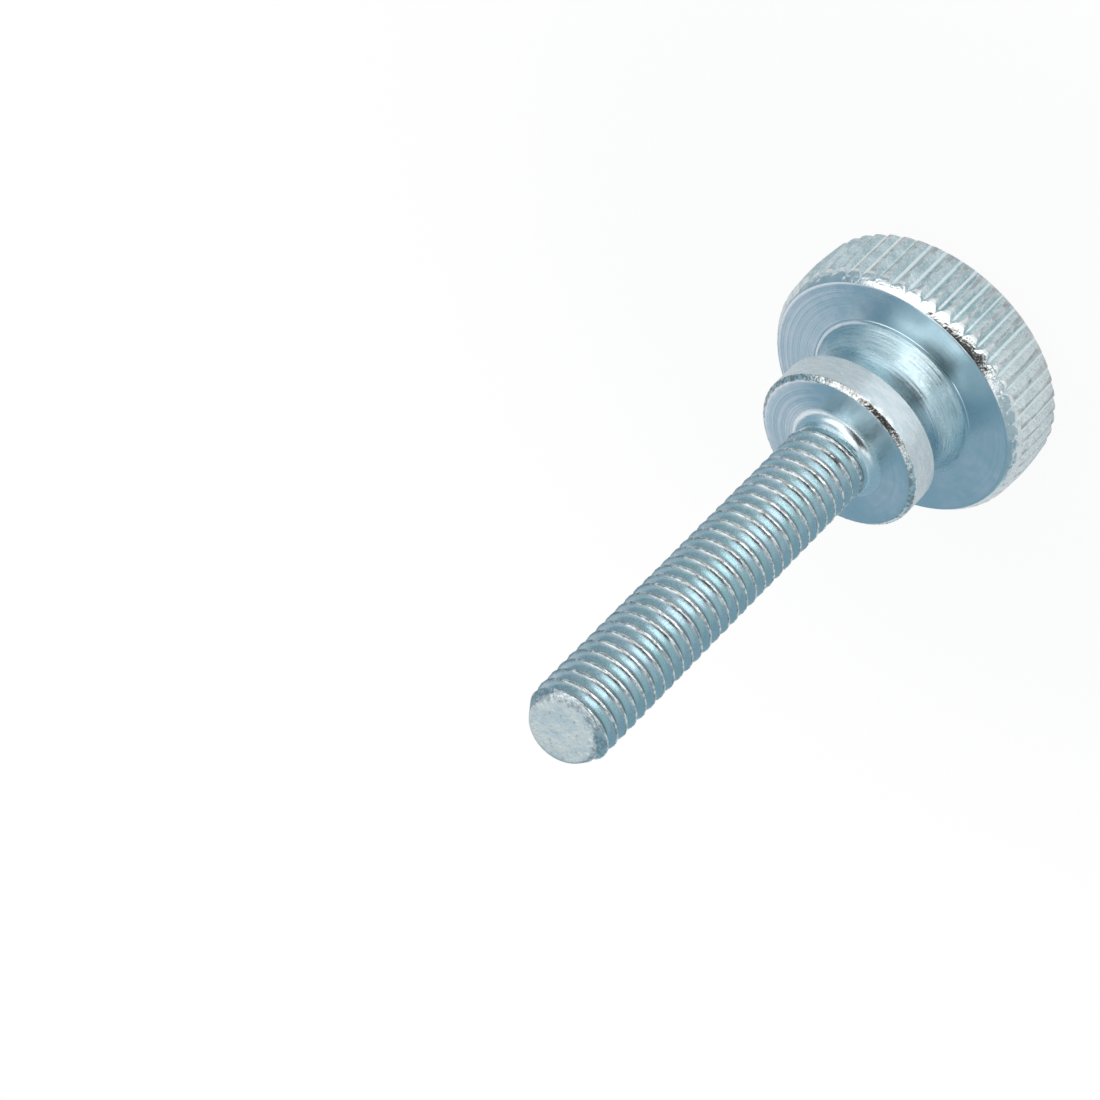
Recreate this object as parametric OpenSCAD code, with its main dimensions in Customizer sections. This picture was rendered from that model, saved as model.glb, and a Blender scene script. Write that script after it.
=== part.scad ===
// Knurled thumb screw of the high form, turned and rolled from one piece of steel.
// A straight-knurled head, a waisted neck, a round seating collar and a threaded shank.
// It stands on the outer face of its head, on the origin, and the shank points up along +Z.
// The shank is drawn at the outer diameter of its thread. All sizes are in millimetres.

/* [Head] */
// Diameter over the crests of the knurl, halfway up the head
head_d = 20; // [17:0.1:26]
// Height of the head, from its outer face to its underside
head_h = 5.8; // [4.5:0.1:9]
// How far the crests fall away between the middle of the head and its ends
crown = 0.25; // [0.05:0.05:0.4]
// Width of the bevel round the outer face, measured across that face
face_bevel_w = 1; // [0.5:0.05:1.5]
// Height at which the outer bevel would reach the full diameter
face_bevel_h = 0.8; // [0.5:0.05:1.5]
// Width of the bevel round the underside, measured across it
under_bevel_w = 0.63; // [0.45:0.01:1]
// Depth below the underside at which its bevel would reach the full diameter
under_bevel_h = 1.1; // [0.6:0.05:1.5]

/* [Knurl] */
// Number of grooves round the head
groove_count = 50; // [36:1:60]
// Depth of a groove below the crests
groove_depth = 0.47; // [0.2:0.01:0.6]
// Width of the land that is left between two grooves, halfway up the head
land_w = 0.14; // [0.05:0.01:0.4]
// Turn of the first groove about the axis, in degrees
groove_turn = 2.6; // [0:0.1:10]

/* [Neck] */
// Length of the neck, from the head to the collar
neck_len = 4; // [3:0.1:8]
// Depth of the waist, from the ends of the neck to its narrowest place
waist_depth = 0.8; // [0.2:0.05:1.5]
// Step from the end of the neck out to the rim of the collar
neck_step = 0.15; // [0.05:0.05:1]

/* [Collar] */
// Diameter of the collar
collar_d = 12.4; // [9:0.1:16]
// Thickness of the collar
collar_t = 2.5; // [1.5:0.1:5]
// Bevel on the edge of the collar, on the side of its seat
collar_bevel = 0.32; // [0.1:0.01:0.6]

/* [Shank] */
// Outer diameter of the thread
thread_d = 6; // [4:0.1:8]
// Length of the shank on its axis, from the seat of the collar to the end face
shank_len = 30.4; // [10:0.1:60]
// Length of the plain run-out between the seat and the thread
runout_len = 1.25; // [1:0.05:3]
// Depth of the run-out below the outer diameter of the thread
runout_depth = 0.18; // [0.05:0.01:0.5]
// Radius of the fillet at the foot of the shank
foot_r = 0.75; // [0.2:0.01:1]

/* [Sheared end] */
// Length of the tapered point, from the full thread to the end face on the axis
point_len = 0.85; // [0.6:0.05:1.5]
// How much the point narrows over that length, measured on the radius
point_w = 0.55; // [0.1:0.05:0.8]
// Slant of the end face, in degrees, down towards -Y
end_slant = 15; // [0:1:25]

/* [Hidden] */
$fn = 180;

// Overlap of neighbouring profiles, and reach of the cutting shapes past the metal
lap = 0.4;

// Head
head_r = head_d / 2;
mid_h = head_h / 2;
face_r = head_r - face_bevel_w;
under_r = head_r - under_bevel_w;
face_apex_r = face_r + face_bevel_w * mid_h / face_bevel_h;
under_apex_r = under_r + under_bevel_w * mid_h / under_bevel_h;
crown_r = (pow(mid_h, 2) + pow(crown, 2)) / (2 * crown);

// Knurl
groove_pitch = PI * head_d / groove_count;
groove_half = (groove_pitch - land_w) / 2;
groove_flare = groove_half * (groove_depth + lap) / groove_depth;

// Heights along the axis, from the outer face of the head
collar_z = head_h + neck_len;
seat_z = collar_z + collar_t;
thread_z = seat_z + runout_len;
end_z = seat_z + shank_len;

// Neck and collar
collar_r = collar_d / 2;
neck_r = collar_r - neck_step;
waist_r = (pow(neck_len / 2, 2) + pow(waist_depth, 2)) / (2 * waist_depth);

// Shank
thread_r = thread_d / 2;
runout_r = thread_r - runout_depth;
point_z = end_z - point_len;
blank_z = end_z + thread_r * tan(end_slant) + lap;
blank_r = thread_r - point_w * (blank_z - point_z) / point_len;

// Half-section of the head: two bevels that a wide arc joins
module head_profile() {
    intersection() {
        polygon([
            [0, 0],
            [face_r, 0],
            [face_apex_r, mid_h],
            [under_apex_r, mid_h],
            [under_r, head_h],
            [0, head_h]
        ]);
        translate([head_r - crown_r, mid_h])
            circle(crown_r, $fn = 720);
    }
}

// Half-section of the neck, hollowed by one arc from end to end
module neck_profile() {
    difference() {
        translate([0, head_h - lap])
            square([neck_r, neck_len + 2 * lap]);
        translate([neck_r - waist_depth + waist_r, head_h + neck_len / 2])
            circle(waist_r);
    }
}

// Half-section of the collar, with its seat at the top
module collar_profile() {
    polygon([
        [0, collar_z],
        [collar_r, collar_z],
        [collar_r, seat_z - collar_bevel],
        [collar_r - collar_bevel, seat_z],
        [0, seat_z]
    ]);
}

// Half-section of the fillet between the seat and the run-out
module foot_profile() {
    difference() {
        translate([0, seat_z - lap])
            square([runout_r + foot_r, foot_r + lap]);
        translate([runout_r + foot_r, seat_z + foot_r])
            circle(foot_r);
    }
}

// Half-section of the shank, with its tapered point left long for the shear
module shank_profile() {
    polygon([
        [0, seat_z - lap],
        [runout_r, seat_z - lap],
        [runout_r, thread_z],
        [thread_r, thread_z + runout_depth],
        [thread_r, point_z],
        [blank_r, blank_z],
        [0, blank_z]
    ]);
}

// The whole screw as it leaves the lathe
module blank() {
    rotate_extrude() {
        head_profile();
        neck_profile();
        collar_profile();
        foot_profile();
        shank_profile();
    }
}

// Straight V-grooves round the head, which run out in its bevels
module knurl_grooves() {
    for (i = [0 : groove_count - 1])
        rotate(groove_turn + i * 360 / groove_count)
            translate([head_r, 0, -lap])
                linear_extrude(head_h + 2 * lap)
                    polygon([
                        [-groove_depth, 0],
                        [lap, -groove_flare],
                        [lap, groove_flare]
                    ]);
}

// What the shear takes off the point, above a slanting plane
module end_waste() {
    translate([0, 0, end_z])
        rotate([end_slant, 0, 0])
            cylinder(d = 2 * thread_d, h = thread_d);
}

module thumb_screw() {
    color([0.70, 0.78, 0.82])
        difference() {
            blank();
            knurl_grooves();
            end_waste();
        }
}

thumb_screw();
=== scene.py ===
"""Knurled thumb screw of zinc-plated steel, standing on the outer face of its head.

The screw is one closed surface, grown ring by ring along its axis: the knurled head, the waisted
neck, the collar and the threaded shank with its sheared end. Sizes are in millimetres.
"""

import math

import bmesh
import bpy
import numpy as np
from mathutils import Matrix, Vector


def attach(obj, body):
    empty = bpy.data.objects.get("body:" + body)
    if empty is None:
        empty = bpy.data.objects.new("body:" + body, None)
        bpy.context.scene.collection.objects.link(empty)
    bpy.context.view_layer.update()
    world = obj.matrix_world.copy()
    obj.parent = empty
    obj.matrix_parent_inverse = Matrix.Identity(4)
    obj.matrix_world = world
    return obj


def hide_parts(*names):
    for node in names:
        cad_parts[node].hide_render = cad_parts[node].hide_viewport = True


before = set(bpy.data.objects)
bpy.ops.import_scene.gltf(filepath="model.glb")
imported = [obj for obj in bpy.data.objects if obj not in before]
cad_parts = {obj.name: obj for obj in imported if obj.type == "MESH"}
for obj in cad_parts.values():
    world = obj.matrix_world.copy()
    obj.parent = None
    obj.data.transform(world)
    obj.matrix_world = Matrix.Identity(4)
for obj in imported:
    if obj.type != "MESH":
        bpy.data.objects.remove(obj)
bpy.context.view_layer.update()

MM = 0.001
rng = np.random.default_rng(50)

# Head: a crowned rim between two bevels, the upper one slightly bulged
HEAD_R = 10.0
HEAD_H = 5.8
CROWN_R = 16.945
FACE_R = 9.0
FACE_BEVEL_H = 0.8
UNDER_R = 9.37
UNDER_BEVEL_H = 1.1
BEVEL_BULGE = 0.075

# Knurl: V-grooves, whose roots rise a little in the bevel of the underside
GROOVES = 50
GROOVE_DEPTH = 0.47
LAND_W = 0.14
GROOVE_TURN = math.radians(2.6)
GROOVE_STEP = 2 * math.pi / GROOVES
GROOVE_PITCH = HEAD_R * GROOVE_STEP
FLANK_RUN = (GROOVE_PITCH - LAND_W) / 2 / GROOVE_DEPTH
HALF_MIN = 0.03
HALF_MAX = 0.46 * GROOVE_PITCH
ROOT_LIFT = 0.12
ROOT_LIFT_H = 0.7

# Past the end of a groove its columns spread out again, over this much of the bevel
PLAIN_MAX = 0.5
PLAIN_OPENING = 0.75

# Unevenness of the rolled grooves: depth, place round the head, and rim of the collar's bevel
ROOT_SPREAD = 0.014
SHIFT_SPREAD = 0.018
BEVEL_SPREAD = 0.012

# Neck and collar
NECK_R = 6.05
NECK_LEN = 4.0
NECK_RING_H = 0.045
WAIST_DEPTH = 0.8
WAIST_TURN = 0.45
COLLAR_R = 6.2
COLLAR_Z = 9.8
COLLAR_EDGE = 0.04
COLLAR_BEVEL = 0.32
SEAT_Z = 12.3

# Shank and thread
THREAD_R = 3.0
RUNOUT_R = 2.82
FOOT_R = 0.75
PITCH = 1.0
THREAD_Z = 13.07
THREAD_TURN = math.radians(-191)
FADE_TURNS = 0.34
FADE_START = 0.3

# Sheared end: the point is grown too long, cut off just below its face, and closed
END_Z = 42.7
END_SLANT = math.radians(15)
END_SPARE = 1.6
END_ROUND = 0.05
END_SPREAD = 0.006
POINT_Z = 41.85
POINT_TAPER = 0.55 / 0.85

# Faint circle on the outer face of the head, slightly off the axis
CIRCLE_R = 6.0
CIRCLE_SHIFT = 0.38

# Materials, by the place they have on the piece
TURNED, NECK, SMOOTH, BEVEL, LAND, GROOVE, THREADED, SHEARED = range(8)

# Places of the columns across a groove, and how deep each lies in it; two more are on the land
GROOVE_U = np.array([-1, -0.88, -0.5, -0.15, 0.15, 0.5, 0.88, 1])
GROOVE_DROP = np.array([0.03, 0.13, 0.5, 0.86, 0.86, 0.5, 0.13, 0.03])
ACROSS = len(GROOVE_U)
GROOVE_COLUMNS = ACROSS + 2
GROOVE_ZONES = [GROOVE] * (ACROSS - 1) + [LAND] * 3
BEVEL_ZONES = [GROOVE] * (ACROSS - 1) + [BEVEL] * 3

# Columns of points round the head, and half and a quarter of those for the rest
FINE = GROOVES * GROOVE_COLUMNS
MEDIUM = FINE // 2
COARSE = FINE // 4

# Thread profile over one pitch: place along the axis in pitches, drop below the crest, and wear
THREAD_PLACE = np.array([0, 0.05, 0.1, 0.2, 0.3, 0.36, 0.405, 0.45,
                         0.55, 0.595, 0.64, 0.7, 0.8, 0.9, 0.95])
THREAD_DROP = np.array([0.585, 0.57, 0.52, 0.347, 0.174, 0.07, 0.018, 0,
                        0, 0.018, 0.07, 0.174, 0.347, 0.52, 0.57])
THREAD_ROUGH = np.array([0, 0, 0, 0, 0.002, 0.005, 0.01, 0.012,
                         0.012, 0.01, 0.005, 0.002, 0, 0, 0])
THREAD_ROWS = len(THREAD_PLACE)

groove_root = HEAD_R - GROOVE_DEPTH + rng.normal(0, ROOT_SPREAD, GROOVES)
groove_shift = rng.normal(0, SHIFT_SPREAD, GROOVES)


def polar(radius, angle, height):
    """Points in metres from radii and heights in millimetres."""
    radius, angle, height = np.broadcast_arrays(radius, angle, height)
    return np.stack((radius * np.cos(angle), radius * np.sin(angle), height), -1) * MM


def even_angles(count):
    """Angles of an even ring, in step with the columns of the knurl."""
    first = GROOVE_TURN - (ACROSS - 1) / 2 * GROOVE_STEP / GROOVE_COLUMNS
    return first + np.arange(count) * 2 * math.pi / count


def ease(x):
    """0 below 0, 1 above 1, and smooth between."""
    x = np.clip(x, 0, 1)
    return x * x * (3 - 2 * x)


class Skin:
    """Rings of points from the outer face of the head to the end of the shank, and their faces."""

    def __init__(self):
        self.points = []
        self.faces = []
        self.zones = []
        self.last = []

    def add_points(self, points):
        first = len(self.points)
        self.points.extend(tuple(p) for p in points)
        return list(range(first, len(self.points)))

    def add_face(self, corners, zone):
        self.faces.append(corners)
        self.zones.append(zone)

    def start(self, points, zone):
        """The first ring, closed by a flat disc that faces down."""
        self.last = self.add_points(points)
        self.add_face(self.last[::-1], zone)

    def grow(self, points, zones):
        """The next ring, with as many points as the last one, twice as many or half as many."""
        a, b = self.last, self.add_points(points)
        n, m = len(a), len(b)
        for j in range(min(n, m)):
            k = (j + 1) % min(n, m)
            zone = zones[j % len(zones)]
            if n == m:
                self.add_face((a[j], a[k], b[k], b[j]), zone)
            elif m == 2 * n:
                self.add_face((a[j], a[k], b[2 * k], b[2 * j + 1], b[2 * j]), zone)
            else:
                self.add_face((a[2 * j], a[2 * j + 1], a[2 * k], b[k], b[j]), zone)
        self.last = b

    def lathe(self, profile, count, zone):
        """Even rings along a profile of radii and heights."""
        for radius, height in profile:
            self.grow(polar(radius, even_angles(count), height), [zone])


def head_reach(z):
    """Radius of the head over its crests at one height."""
    crown = HEAD_R - CROWN_R + math.sqrt(CROWN_R ** 2 - (z - HEAD_H / 2) ** 2)
    outer = FACE_R + (HEAD_R - FACE_R) * z / FACE_BEVEL_H
    share = (HEAD_H - z) / UNDER_BEVEL_H
    under = UNDER_R + (HEAD_R - UNDER_R) * share + 4 * BEVEL_BULGE * share * (1 - share)
    under = under if share < 1 else HEAD_R
    return min(crown, outer, under)


def knurl_ring(z, raggedness):
    """One ring round the head, with its columns along the flanks, roots and lands."""
    reach = head_reach(z)
    root = groove_root + ROOT_LIFT * ease((z - HEAD_H + UNDER_BEVEL_H) / ROOT_LIFT_H)
    depth = np.clip(reach - root, 0, None)
    plain = np.clip(root - reach, 0, PLAIN_MAX)
    half = depth * FLANK_RUN * (1 + rng.normal(0, raggedness, GROOVES))
    half = np.maximum(half, HALF_MIN + PLAIN_OPENING * plain)
    half = np.clip(half, HALF_MIN, HALF_MAX)
    land = GROOVE_PITCH - half - np.roll(half, -1)
    offset = np.empty((GROOVES, GROOVE_COLUMNS))
    offset[:, :ACROSS] = half[:, None] * GROOVE_U
    offset[:, ACROSS] = half + land / 3
    offset[:, ACROSS + 1] = half + land * 2 / 3
    offset += groove_shift[:, None]
    drop = np.zeros((GROOVES, GROOVE_COLUMNS))
    drop[:, :ACROSS] = depth[:, None] * GROOVE_DROP
    drop += rng.normal(0, 0.1 * raggedness, drop.shape)
    angle = GROOVE_TURN + np.arange(GROOVES)[:, None] * GROOVE_STEP + offset / HEAD_R
    return polar((reach - drop).ravel(), angle.ravel(), z)


def grow_head(skin):
    """The outer face, then bands of rings up the rim: their heights, raggedness and materials."""
    skin.start(polar(6.5, even_angles(COARSE), 0), TURNED)
    skin.lathe([(7.6, 0)], MEDIUM, TURNED)
    skin.lathe([(8.4, 0), (8.9, 0), (FACE_R, 0.02)], FINE, TURNED)
    bands = (
        ((0.08, 0.2, 0.32, 0.4), 0.02, [BEVEL]),
        ((0.44, 0.48, 0.53, 0.58, 0.63, 0.68, 0.72), 0.03, BEVEL_ZONES),
        ((0.85, 1.1, 1.5, 2.0, 2.5, 2.9, 3.3, 3.8, 4.2, 4.5, 4.7, 4.82), 0.03, GROOVE_ZONES),
        ((4.9, 4.96, 5.03, 5.1, 5.18, 5.26, 5.34, 5.41, 5.47), 0.05, BEVEL_ZONES),
        ((5.51, 5.55, 5.62, 5.7), 0.05, [BEVEL]),
    )
    for heights, raggedness, zones in bands:
        for z in heights:
            skin.grow(knurl_ring(z, raggedness), zones)
    skin.lathe([(UNDER_R + 0.008, HEAD_H - 0.014), (UNDER_R - 0.012, HEAD_H)], FINE, BEVEL)
    skin.lathe([(UNDER_R - 0.2, HEAD_H)], FINE, TURNED)


def grow_neck(skin):
    """The flat underside, a fine ring at the foot of the neck, and the hollow of the waist."""
    flat = [(radius, HEAD_H) for radius in (8.8, 7.6, 6.37)]
    ring_z = HEAD_H + NECK_RING_H
    ring = [(6.335, ring_z), (6.3, ring_z), (6.265, HEAD_H), (6.13, HEAD_H)]
    waist = []
    half = NECK_LEN / 2
    deepest = math.hypot(1, WAIST_TURN) - WAIST_TURN
    for s in np.linspace(-0.98, 0.98, 27):
        hollow = (math.hypot(s, WAIST_TURN) - WAIST_TURN) / deepest
        waist.append((NECK_R - WAIST_DEPTH * (1 - hollow), HEAD_H + half * (1 + s)))
    skin.lathe(flat + ring, MEDIUM, TURNED)
    skin.lathe(waist, MEDIUM, NECK)


def grow_collar(skin):
    """The collar with its ragged bevel, the seat, and the fillet at the foot of the shank."""
    bevel_z = SEAT_Z - COLLAR_BEVEL
    bevel_r = COLLAR_R - COLLAR_BEVEL
    side = [(NECK_R + 0.03, COLLAR_Z), (COLLAR_R - COLLAR_EDGE, COLLAR_Z)]
    side += [(COLLAR_R, COLLAR_Z + COLLAR_EDGE)]
    side += [(COLLAR_R, z) for z in np.linspace(COLLAR_Z + 0.5, bevel_z - COLLAR_EDGE, 5)]
    skin.lathe(side, MEDIUM, SMOOTH)
    bevel = [(COLLAR_R - 0.015, bevel_z + 0.02)]
    bevel += [(COLLAR_R - COLLAR_BEVEL * s, bevel_z + COLLAR_BEVEL * s) for s in (0.3, 0.55, 0.8)]
    bevel += [(bevel_r + 0.02, SEAT_Z - 0.012), (bevel_r - 0.03, SEAT_Z)]
    for radius, height in bevel:
        wave = rng.normal(0, BEVEL_SPREAD, MEDIUM)
        skin.grow(polar(radius + wave, even_angles(MEDIUM), height), [BEVEL])
    skin.lathe([(5.5, SEAT_Z)], MEDIUM, TURNED)
    skin.lathe([(4.6, SEAT_Z), (FOOT_R + RUNOUT_R + 0.03, SEAT_Z)], COARSE, TURNED)
    foot = []
    for turn in np.linspace(6, 90, 9):
        a = math.radians(turn)
        foot.append((RUNOUT_R + FOOT_R * (1 - math.sin(a)), SEAT_Z + FOOT_R * (1 - math.cos(a))))
    skin.lathe(foot, COARSE, SMOOTH)


def grow_thread(skin):
    """A right-hand thread: lines that climb one pitch a turn, from a wedge on the run-out."""
    even = even_angles(COARSE)
    start = int(round((THREAD_TURN - even[0]) / (2 * math.pi) * COARSE)) % COARSE
    angles = np.roll(even, -start)
    foot = skin.last[start:] + skin.last[:start]
    turns = math.ceil((END_Z + END_SPARE - THREAD_Z) / PITCH)
    steps = np.arange(-COARSE, turns * COARSE)
    climb = steps / COARSE
    full = RUNOUT_R + (THREAD_R - RUNOUT_R) * ease(1 + climb)
    lines = []
    for place, drop, rough in zip(THREAD_PLACE, THREAD_DROP, THREAD_ROUGH):
        above = place > 0.5
        fade = ease((climb + above) / FADE_TURNS)
        near = FADE_START + (1 - FADE_START) * fade
        moved = 1 - (1 - place) * near if above else place * near
        rise = np.where(climb < 0, place * (1 + climb), moved + climb)
        z = THREAD_Z + PITCH * rise
        radius = full - fade * drop + rng.normal(0, rough, len(steps)) * ease(4 * (1 + climb))
        radius = np.minimum(radius, THREAD_R - POINT_TAPER * (z - POINT_Z))
        lines.append(skin.add_points(polar(radius, angles[steps % COARSE], z)))
    for j in range(COARSE):
        skin.add_face((foot[j], foot[(j + 1) % COARSE], lines[0][j + 1], lines[0][j]), THREADED)
    skin.add_face((foot[0], lines[0][0], lines[0][COARSE]), THREADED)
    for row in range(THREAD_ROWS):
        lower, upper = lines[row], lines[(row + 1) % THREAD_ROWS]
        lead = 0 if row + 1 < THREAD_ROWS else COARSE
        for t in range(len(steps) - 1 - lead):
            skin.add_face((lower[t], lower[t + 1], upper[t + 1 + lead], upper[t + lead]), THREADED)


def dent(x, y):
    """Shallow dents of the sheared face, in millimetres."""
    return (0.006 * math.sin(1.1 * x + 0.7 * y + 0.3) + 0.004 * math.sin(1.6 * y - 0.9 * x + 1.1)
            + 0.002 * math.sin(4.1 * x - 3.3 * y))


def loop_in_order(edges):
    """The points of one closed loop of edges, each beside the next."""
    loop = [edges[0].verts[0], edges[0].verts[1]]
    left = set(edges[1:])
    while left:
        edge = next(e for e in loop[-1].link_edges if e in left)
        left.remove(edge)
        loop.append(edge.other_vert(loop[-1]))
    return loop[:-1]


def shear_end(bm):
    """Cuts the point off on a slant and closes it with a dented face that has a rounded rim."""
    normal = Vector((0, -math.sin(END_SLANT), math.cos(END_SLANT)))
    sunk = Vector((0, 0, END_Z * MM)) - normal * END_ROUND * MM
    cut = bmesh.ops.bisect_plane(bm, geom=bm.verts[:] + bm.edges[:] + bm.faces[:], dist=1e-7,
                                 plane_co=sunk, plane_no=normal, clear_outer=True)
    rim = loop_in_order([e for e in cut["geom_cut"] if isinstance(e, bmesh.types.BMEdge)])
    middle = sum((v.co for v in rim), Vector()) / len(rim)
    rounded = [(0.985, 0.022), (0.955, 0.042)]
    level = [(scale, END_ROUND) for scale in (0.9, 0.72, 0.5, 0.3, 0.12)]
    outer = rim
    for scale, lift in rounded + level:
        inner = []
        for v in rim:
            spot = middle + (v.co - middle) * scale
            if lift < END_ROUND:
                height = lift + rng.normal(0, END_SPREAD)
            else:
                height = lift + dent(spot.x / MM, spot.y / MM)
            inner.append(bm.verts.new(spot + normal * height * MM))
        for j in range(len(rim)):
            quad = (outer[j - 1], outer[j], inner[j], inner[j - 1])
            bm.faces.new(quad).material_index = SHEARED
        outer = inner
    bm.faces.new(outer).material_index = SHEARED


def make_screw():
    skin = Skin()
    grow_head(skin)
    grow_neck(skin)
    grow_collar(skin)
    grow_thread(skin)
    mesh = bpy.data.meshes.new("screw")
    mesh.from_pydata(skin.points, [], skin.faces)
    mesh.polygons.foreach_set("material_index", skin.zones)
    bm = bmesh.new()
    bm.from_mesh(mesh)
    bmesh.ops.remove_doubles(bm, verts=bm.verts, dist=2e-7)
    shear_end(bm)
    bmesh.ops.recalc_face_normals(bm, faces=bm.faces)
    bm.to_mesh(mesh)
    bm.free()
    mesh.shade_smooth()
    mesh.set_sharp_from_angle(angle=math.radians(38))
    piece = bpy.data.objects.new("screw", mesh)
    bpy.context.collection.objects.link(piece)
    return piece


class Shader:
    """Adds nodes to one tree, with their settings and what feeds their sockets."""

    def __init__(self, tree):
        self.tree = tree
        tree.nodes.clear()

    def feed(self, socket, value):
        if isinstance(value, bpy.types.NodeSocket):
            self.tree.links.new(value, socket)
        else:
            socket.default_value = value

    def add(self, kind, sockets=None, **settings):
        made = self.tree.nodes.new("ShaderNode" + kind)
        for name, value in settings.items():
            setattr(made, name, value)
        for name, value in (sockets or {}).items():
            self.feed(made.inputs[name], value)
        return made

    def math(self, operation, a, b=0.0):
        return self.add("Math", {0: a, 1: b}, operation=operation).outputs[0]

    def times(self, *factors):
        product = factors[0]
        for factor in factors[1:]:
            product = self.math("MULTIPLY", product, factor)
        return product

    def scaled(self, vector, factors):
        return self.add("VectorMath", {0: vector, 1: factors}, operation="MULTIPLY").outputs[0]

    def length(self, vector):
        return self.add("VectorMath", {0: vector}, operation="LENGTH").outputs["Value"]

    def noise(self, vector, scale, detail=3.0, roughness=0.5):
        made = self.add("TexNoise", {"Vector": vector, "Scale": scale, "Detail": detail,
                                     "Roughness": roughness})
        return made.outputs["Fac"]

    def rings(self, w, scale, detail=2.0):
        made = self.add("TexNoise", {"W": w, "Scale": scale, "Detail": detail}, noise_dimensions="1D")
        return made.outputs["Fac"]

    def blend(self, factor, low, high):
        """Goes from one colour to another."""
        made = self.add("Mix", {"Factor": factor}, data_type="RGBA")
        for socket, value in ((made.inputs[6], low), (made.inputs[7], high)):
            self.feed(socket, (*value, 1) if isinstance(value, tuple) else value)
        return made.outputs[2]

    def ramp(self, value, start, end, low=0.0, high=1.0):
        """Goes smoothly from low to high while a value goes from start to end."""
        made = self.add("MapRange", {"Value": value, "From Min": start, "From Max": end,
                                     "To Min": low, "To Max": high}, interpolation_type="SMOOTHSTEP")
        return made.outputs["Result"]

    def within(self, value, start, end, soft):
        """1 where a value lies between two bounds, with soft edges."""
        rise = self.ramp(value, start - soft, start + soft)
        return self.times(rise, self.ramp(value, end + soft, end - soft))

    def bump(self, height, depth_mm, under=None):
        sockets = {"Height": height, "Strength": 1.0, "Distance": depth_mm * MM}
        if under is not None:
            sockets["Normal"] = under
        return self.add("Bump", sockets).outputs["Normal"]

    def seen(self):
        """1 for rays that look at the scene directly or through something, 0 for the rest."""
        path = self.add("LightPath").outputs
        return self.math("MAXIMUM", path["Is Camera Ray"], path["Is Transmission Ray"])


class Zinc(Shader):
    """One finish of the plate: points in millimetres, their distance from the axis and their height."""

    def __init__(self, name):
        self.material = bpy.data.materials.new(name)
        self.material.use_nodes = True
        super().__init__(self.material.node_tree)
        place = self.add("TexCoord").outputs["Object"]
        self.place = self.add("VectorMath", {0: place, "Scale": 1 / MM}, operation="SCALE").outputs[0]
        self.radius = self.length(self.scaled(self.place, (1, 1, 0)))
        split = self.add("SeparateXYZ", {0: self.place}).outputs
        self.across, self.height = split[0], split[2]

    def finish(self, colour, roughness, normal, anisotropy=0.0):
        surface = self.add("BsdfPrincipled", {
            "Base Color": colour, "Metallic": 1.0, "Roughness": roughness, "Normal": normal,
            "Anisotropic": anisotropy, "Anisotropic Rotation": 0.25 if anisotropy else 0.0})
        if anisotropy:
            tangent = self.add("Tangent", direction_type="RADIAL", axis="Z").outputs[0]
            self.tree.links.new(tangent, surface.inputs["Tangent"])
        self.add("OutputMaterial", {"Surface": surface.outputs[0]})
        return self.material


def turned_zinc():
    """Flat faces cut on the lathe: fine rings that draw highlights out along the radius."""
    sh = Zinc("zinc_turned")
    fine = sh.rings(sh.radius, 14.0)
    broad = sh.rings(sh.radius, 3.0)
    cloud = sh.noise(sh.place, 0.35, 2.0)
    grain = sh.noise(sh.place, 5.0, 3.0)
    colour = sh.blend(sh.ramp(cloud, 0.35, 0.65), (0.61, 0.74, 0.80), (0.69, 0.775, 0.83))
    colour = sh.blend(sh.ramp(grain, 0.62, 0.8, 0.0, 0.4), colour, (0.78, 0.83, 0.85))
    roughness = sh.ramp(sh.noise(sh.place, 1.2), 0.3, 0.7, 0.15, 0.21)
    shifted = sh.add("VectorMath", {0: sh.place, 1: (-CIRCLE_SHIFT, 0, 0)}, operation="ADD").outputs[0]
    reach = sh.length(sh.scaled(shifted, (1, 1, 0)))
    circle = sh.ramp(sh.math("ABSOLUTE", sh.math("SUBTRACT", reach, CIRCLE_R)), 0.02, 0.07)
    circle = sh.math("MAXIMUM", circle, sh.ramp(sh.height, 0.1, 0.4))
    normal = sh.bump(sh.times(sh.radius, -1.0), 0.03)
    normal = sh.bump(fine, 0.004, normal)
    normal = sh.bump(broad, 0.008, normal)
    normal = sh.bump(grain, 0.003, normal)
    normal = sh.bump(circle, 0.012, normal)
    return sh.finish(colour, roughness, normal, anisotropy=0.9)


def neck_zinc():
    """The waist: coarse turning rings and dark scuffs in bright plate."""
    sh = Zinc("zinc_neck")
    fine = sh.rings(sh.height, 9.0, 3.0)
    broad = sh.rings(sh.height, 3.2, 2.0)
    grain = sh.noise(sh.place, 4.0, 3.0)
    cloud = sh.noise(sh.place, 0.5, 2.0)
    scuffs = sh.noise(sh.scaled(sh.place, (1, 1, 14)), 0.7, 3.0, 0.6)
    colour = sh.blend(sh.ramp(cloud, 0.35, 0.65), (0.55, 0.71, 0.76), (0.62, 0.75, 0.79))
    colour = sh.blend(sh.ramp(scuffs, 0.5, 0.68, 0.0, 0.6), colour, (0.32, 0.40, 0.43))
    roughness = sh.ramp(grain, 0.3, 0.7, 0.26, 0.38)
    normal = sh.bump(fine, 0.012)
    normal = sh.bump(broad, 0.03, normal)
    normal = sh.bump(grain, 0.008, normal)
    return sh.finish(colour, roughness, normal, anisotropy=0.5)


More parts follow.
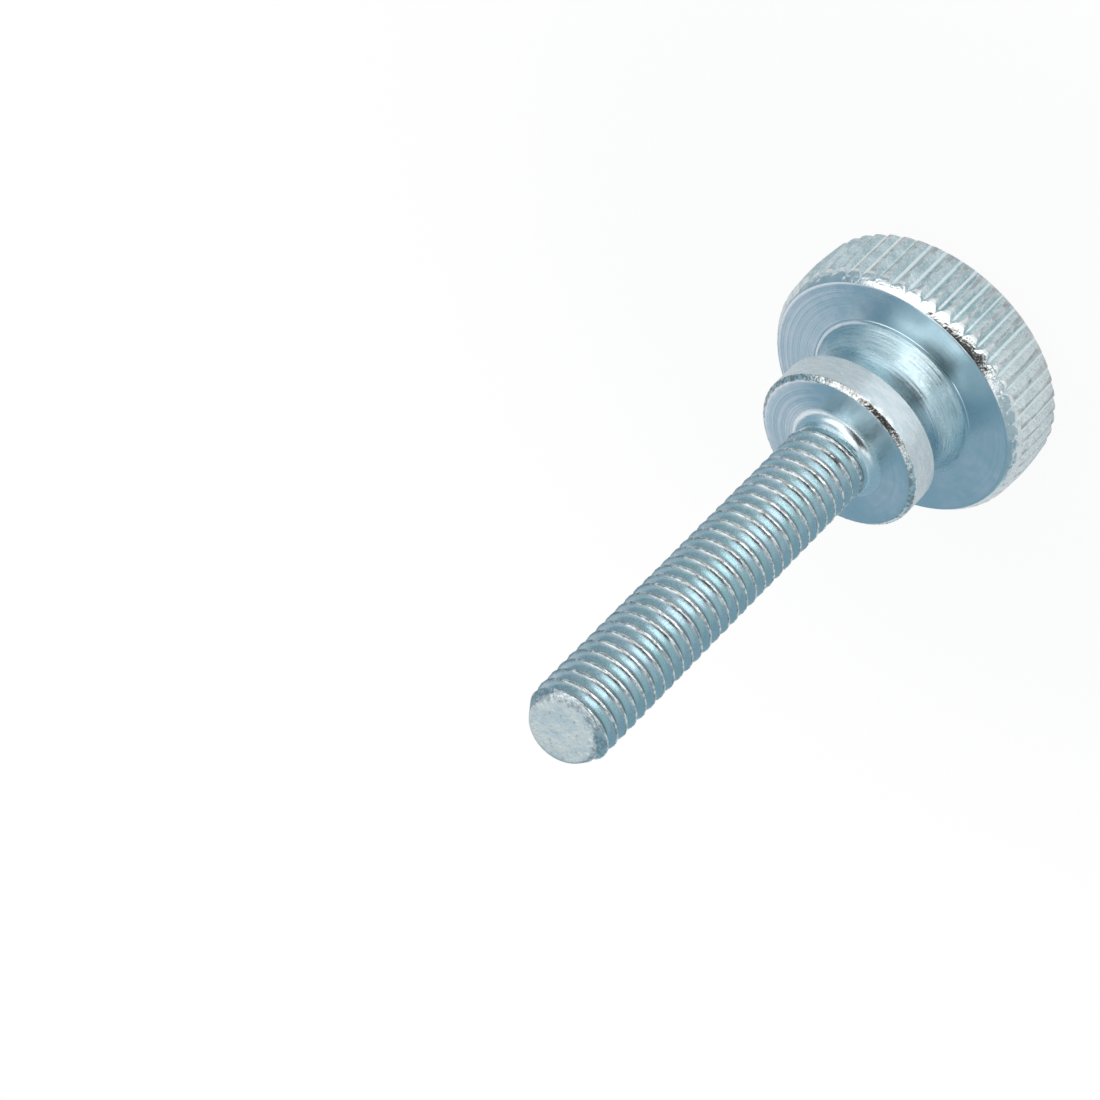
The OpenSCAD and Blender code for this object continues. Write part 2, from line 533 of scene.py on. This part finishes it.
def smooth_zinc():
    """The side of the collar and the foot of the shank: even and pale, with a faint grain."""
    sh = Zinc("zinc_smooth")
    streaks = sh.noise(sh.scaled(sh.place, (1, 1, 4)), 1.2, 3.0)
    grain = sh.noise(sh.place, 3.0, 3.0)
    colour = sh.blend(sh.ramp(streaks, 0.35, 0.65), (0.58, 0.67, 0.70), (0.67, 0.74, 0.77))
    # Painted highlight: the foot of the shank is coloured paler than the side of the collar.
    colour = sh.blend(sh.ramp(sh.radius, 4.6, 4.1), colour, (0.80, 0.89, 0.92))
    roughness = sh.ramp(grain, 0.3, 0.7, 0.22, 0.34)
    normal = sh.bump(grain, 0.012)
    return sh.finish(colour, roughness, normal)


def bevel_zinc():
    """The bevels of head and collar: bright and lumpy, and on the collar ragged and worn."""
    sh = Zinc("zinc_bevel")
    lumps = sh.noise(sh.place, 2.6, 3.0, 0.6)
    grit = sh.noise(sh.place, 6.0, 2.0)
    cloud = sh.noise(sh.place, 0.6, 2.0)
    collar = sh.ramp(sh.height, HEAD_H, COLLAR_Z)
    worn = sh.times(collar, sh.ramp(lumps, 0.46, 0.6, 0.0, 0.75))
    colour = sh.blend(sh.ramp(cloud, 0.35, 0.65), (0.73, 0.76, 0.76), (0.83, 0.85, 0.84))
    colour = sh.blend(worn, colour, (0.34, 0.34, 0.33))
    roughness = sh.ramp(lumps, 0.3, 0.7, 0.1, 0.2)
    normal = sh.bump(lumps, 0.018)
    normal = sh.bump(sh.times(grit, sh.ramp(collar, 0.0, 1.0, 1.0, 2.4)), 0.016, normal)
    return sh.finish(colour, roughness, normal)


def land_zinc():
    """The lands of the knurl: dull, mottled and pitted from rolling."""
    sh = Zinc("zinc_land")
    pits = sh.noise(sh.place, 3.4, 3.0, 0.6)
    cloud = sh.noise(sh.place, 1.4, 2.0)
    colour = sh.blend(sh.ramp(cloud, 0.35, 0.65), (0.46, 0.50, 0.51), (0.68, 0.71, 0.71))
    colour = sh.blend(sh.ramp(pits, 0.55, 0.68, 0.0, 0.6), colour, (0.3, 0.33, 0.34))
    roughness = sh.ramp(pits, 0.3, 0.7, 0.2, 0.34)
    normal = sh.bump(pits, 0.07)
    return sh.finish(colour, roughness, normal)


def groove_zinc():
    """The grooves of the knurl: smoother and bluer and grained, with a mottled painted highlight towards
    -X and a painted highlight along the roots.
    """
    sh = Zinc("zinc_groove")
    pits = sh.noise(sh.place, 2.8, 2.0)
    cloud = sh.noise(sh.place, 0.8, 2.0)
    grain = sh.noise(sh.place, 7.0, 3.0, 0.6)
    # Painted highlight: the grooves turn paler towards -X, mottled by the pits.
    painted_side_sheen = sh.times(sh.ramp(sh.across, 2.5, -7.5), sh.ramp(pits, 0.34, 0.6, 0.4, 0.8))
    colour = sh.blend(sh.ramp(cloud, 0.35, 0.65), (0.46, 0.60, 0.64), (0.66, 0.79, 0.82))
    colour = sh.blend(painted_side_sheen, colour, (0.82, 0.87, 0.87))
    colour = sh.blend(sh.ramp(grain, 0.52, 0.66, 0.0, 0.55), colour, (0.92, 0.95, 0.95))
    colour = sh.blend(sh.ramp(grain, 0.46, 0.34, 0.0, 0.4), colour, (0.36, 0.45, 0.48))
    # Painted highlight: a pale stripe along the bottom of each groove.
    colour = sh.blend(sh.ramp(sh.radius, 9.65, 9.595), colour, (0.88, 0.96, 0.97))
    roughness = sh.ramp(pits, 0.3, 0.7, 0.16, 0.26)
    normal = sh.bump(pits, 0.055)
    normal = sh.bump(grain, 0.018, normal)
    return sh.finish(colour, roughness, normal)


def threaded_zinc():
    """Rolled thread: smooth blue flanks, roots darkened with painted shade, and worn, speckled crests.
    """
    sh = Zinc("zinc_threaded")
    grain = sh.noise(sh.place, 6.0, 3.0)
    specks = sh.noise(sh.place, 3.0, 2.0)
    cloud = sh.noise(sh.place, 0.6, 2.0)
    crest = sh.ramp(sh.radius, 2.93, 2.98)
    # Painted shade: the roots of the thread are coloured dark.
    root = sh.ramp(sh.radius, 2.52, 2.42)
    tip = sh.ramp(sh.height, POINT_Z - 0.5, POINT_Z + 0.3)
    worn = sh.blend(sh.ramp(specks, 0.38, 0.66), (0.42, 0.43, 0.43), (0.80, 0.80, 0.79))
    rolled = sh.blend(sh.ramp(specks, 0.4, 0.6), (0.42, 0.48, 0.50), (0.70, 0.74, 0.74))
    colour = sh.blend(sh.ramp(cloud, 0.38, 0.62), (0.60, 0.73, 0.75), (0.65, 0.75, 0.79))
    colour = sh.blend(root, colour, (0.22, 0.28, 0.30))
    colour = sh.blend(crest, colour, worn)
    colour = sh.blend(tip, colour, rolled)
    roughness = sh.ramp(grain, 0.3, 0.7, 0.25, 0.35)
    normal = sh.bump(grain, 0.006)
    normal = sh.bump(sh.times(specks, tip), 0.05, normal)
    return sh.finish(colour, roughness, normal)


def sheared_zinc():
    """The sheared end: a dull, nearly flat face with small pits and a ragged rim."""
    sh = Zinc("zinc_sheared")
    dents = sh.noise(sh.place, 0.9, 3.0)
    pits = sh.noise(sh.place, 3.2, 3.0, 0.6)
    rim = sh.ramp(sh.radius, 2.2, 2.42)
    ragged = sh.blend(sh.ramp(pits, 0.4, 0.6), (0.8, 0.82, 0.82), (0.25, 0.28, 0.30))
    colour = sh.blend(sh.ramp(dents, 0.38, 0.62), (0.68, 0.73, 0.735), (0.83, 0.83, 0.79))
    colour = sh.blend(sh.ramp(pits, 0.61, 0.68, 0.0, 0.6), colour, (0.38, 0.43, 0.46))
    colour = sh.blend(sh.ramp(pits, 0.36, 0.3, 0.0, 0.5), colour, (0.9, 0.92, 0.92))
    colour = sh.blend(sh.times(rim, 0.55), colour, ragged)
    roughness = sh.ramp(pits, 0.3, 0.7, 0.4, 0.55)
    normal = sh.bump(dents, 0.012)
    normal = sh.bump(pits, 0.03, normal)
    return sh.finish(colour, roughness, normal)


def make_floor():
    """A wide pale floor that keeps a faint shadow; in the metal's reflections it glows with a painted
    tint that is dimmer far away.
    """
    half = 1.5
    mesh = bpy.data.meshes.new("floor")
    mesh.from_pydata([(-half, -half, 0), (half, -half, 0), (half, half, 0), (-half, half, 0)], [],
                     [(0, 1, 2, 3)])
    floor = bpy.data.objects.new("floor", mesh)
    floor.location.z = -0.02 * MM
    bpy.context.collection.objects.link(floor)
    material = bpy.data.materials.new("floor_white")
    material.use_nodes = True
    sh = Shader(material.node_tree)
    mirror = sh.add("LightPath").outputs["Is Glossy Ray"]
    place = sh.add("TexCoord").outputs["Object"]
    across = sh.add("SeparateXYZ", {0: place}).outputs[0]
    away = sh.length(place)
    near, far = 0.022, 0.065
    seen = sh.times(sh.seen(), sh.ramp(away, 0.015, 0.06, 0.93, 1.0))
    mirrored = sh.times(mirror, sh.ramp(away, near, far, 0.4, 1.0))
    # Painted reflection: in the metal, the floor glows dimmer and bluer far from the screw, and darker
    # towards +X.
    painted_far_share = sh.times(mirror, sh.ramp(away, near, far))
    painted_far_tint = sh.blend(sh.ramp(across, -0.04, 0.02), (0.62, 0.76, 0.80), (0.36, 0.47, 0.53))
    colour = sh.blend(painted_far_share, (1, 1, 1), painted_far_tint)
    paint = sh.add("BsdfDiffuse", {"Color": (0.9, 0.9, 0.9, 1)}).outputs[0]
    glow = sh.add("Emission", {"Color": colour, "Strength": 1.0}).outputs[0]
    mixed = sh.add("MixShader", {0: sh.math("MAXIMUM", seen, mirrored), 1: paint, 2: glow}).outputs[0]
    sh.add("OutputMaterial", {"Surface": mixed})
    mesh.materials.append(material)


def make_world():
    """A soft tent: bright in front with a dark gap, dimmer and cooler behind with a pale panel."""
    world = bpy.data.worlds.new("tent")
    bpy.context.scene.world = world
    world.use_nodes = True
    sh = Shader(world.node_tree)
    way = sh.add("TexCoord").outputs["Generated"]
    way = sh.add("VectorMath", {0: way}, operation="NORMALIZE").outputs[0]
    split = sh.add("SeparateXYZ", {0: way}).outputs
    x, y, z = split[0], split[1], split[2]
    panel_top = sh.math("SUBTRACT", z, sh.times(x, 1.25))
    panel = sh.times(sh.within(x, 0.0, 0.52, 0.035), sh.ramp(panel_top, 0.56, 0.5),
                     sh.ramp(y, 0.0, 0.2), sh.ramp(z, 0.25, 0.35))
    high = sh.times(sh.ramp(y, 0.15, -0.35), sh.ramp(z, 0.2, 0.34), sh.ramp(x, -0.85, -0.5))
    low = sh.times(sh.within(x, -0.42, 0.58, 0.1), sh.ramp(y, 0.0, -0.3))
    gap_foot = sh.math("SUBTRACT", z, sh.times(x, 0.6))
    gap = sh.times(sh.within(x, -0.52, 0.29, 0.09), sh.ramp(gap_foot, 0.46, 0.51),
                   sh.ramp(y, 0.0, -0.15))
    colour = sh.blend(panel, (0.26, 0.40, 0.48), (0.94, 0.89, 0.92))
    colour = sh.blend(sh.ramp(y, 0.2, -0.1), colour, (0.40, 0.52, 0.58))
    colour = sh.blend(sh.math("MAXIMUM", high, low), colour, (1.6, 1.6, 1.6))
    colour = sh.blend(gap, colour, (0.045, 0.045, 0.045))
    colour = sh.blend(sh.seen(), colour, (1, 1, 1))
    back = sh.add("Background", {"Color": colour, "Strength": 1.0}).outputs[0]
    sh.add("OutputWorld", {"Surface": back})


def make_lamp(name, position, aim, size, radiance):
    """A rectangular softbox of even brightness, which the picture itself doesn't show."""
    lamp = bpy.data.lights.new(name, "AREA")
    lamp.shape = "RECTANGLE"
    lamp.size, lamp.size_y = size
    lamp.energy = radiance * math.pi * size[0] * size[1]
    holder = bpy.data.objects.new(name, lamp)
    holder.location = position
    holder.rotation_euler = (Vector(aim) - Vector(position)).to_track_quat("-Z", "Y").to_euler()
    holder.visible_camera = False
    bpy.context.collection.objects.link(holder)


def make_camera():
    """Looks down along +Y, rolled so that the shank points to the lower left."""
    elevation, roll = math.radians(31.93), math.radians(-134.11)
    aside, above, distance = -19.15, -6.51, 251.6
    back = Vector((0, -math.cos(elevation), math.sin(elevation)))
    level, rise = Vector((1, 0, 0)), Vector((0, math.sin(elevation), math.cos(elevation)))
    right = math.cos(roll) * level + math.sin(roll) * rise
    up = back.cross(right)
    seat = Vector((0, 0, SEAT_Z))
    place = (seat + aside * right + above * up + distance * back) * MM
    data = bpy.data.cameras.new("camera")
    data.sensor_width = 36
    data.lens = 123.0
    data.clip_start, data.clip_end = 0.01, 10
    camera = bpy.data.objects.new("camera", data)
    camera.matrix_world = Matrix.Translation(place) @ Matrix((right, up, back)).transposed().to_4x4()
    bpy.context.collection.objects.link(camera)
    bpy.context.scene.camera = camera


make_camera()
make_floor()
make_world()
make_lamp("overhead", position=(0.018, 0.054, 0.44), aim=(0, 0, 0), size=(0.16, 0.16), radiance=2.0)
make_lamp("front_near", position=(-0.005, -0.0225, 0.001), aim=(-0.005, -0.0225, 1),
          size=(0.03, 0.017), radiance=0.3)
make_lamp("front_far", position=(0.001, -0.071, 0.001), aim=(0.001, -0.071, 1),
          size=(0.064, 0.066), radiance=2.3)

screw = make_screw()
for make_zinc in (turned_zinc, neck_zinc, smooth_zinc, bevel_zinc, land_zinc, groove_zinc, threaded_zinc,
                  sheared_zinc):
    screw.data.materials.append(make_zinc())
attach(screw, "root")
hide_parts("thumb_screw")

bpy.context.scene.view_settings.view_transform = "Standard"
